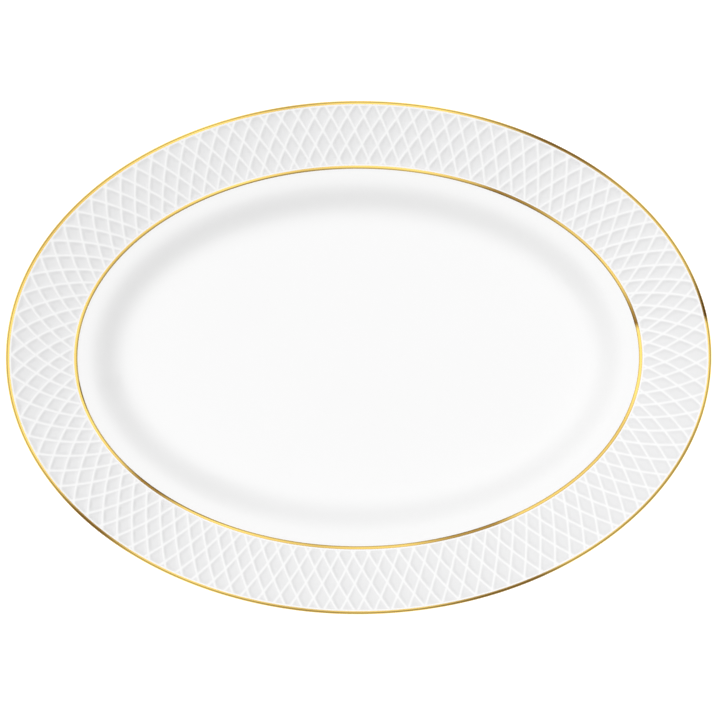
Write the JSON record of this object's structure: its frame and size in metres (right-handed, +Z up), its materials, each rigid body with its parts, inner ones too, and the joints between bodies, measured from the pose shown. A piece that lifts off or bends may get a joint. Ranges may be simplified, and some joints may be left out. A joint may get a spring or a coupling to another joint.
{
  "type": "serving platter",
  "caption": "Oval porcelain serving platter with a flat well, a raised diamond lattice on its rim, fired gold lines at its edge and shoulder, and a low foot ring.",
  "frame": {"origin": "centre of the footprint, on the plane that the foot ring rests on", "axes": "+X along the long axis of the oval, +Z up out of the well"},
  "size_m": [0.355, 0.2576, 0.027],
  "materials": {
    "bare_porcelain": "fired hard porcelain, unglazed, fine matte grain, seen only on the foot ring's contact face",
    "white_glaze": "clear glaze over white porcelain, high gloss, smooth with very slight long waviness",
    "lattice_glaze": "the same white glaze over moulded ribs, softened where it pools beside them",
    "fired_gold": "bright fired gold lustre, polished, hand-banded, with fine brush lines along the band"
  },
  "bodies": {
    "root": {"biscuit_body": "bare_porcelain", "face_glaze": "white_glaze", "back_glaze": "white_glaze", "foot_recess_glaze": "white_glaze", "rim_lattice": "lattice_glaze", "edge_gold_band": "fired_gold", "shoulder_gold_band": "fired_gold"}
  },
  "joints": []
}
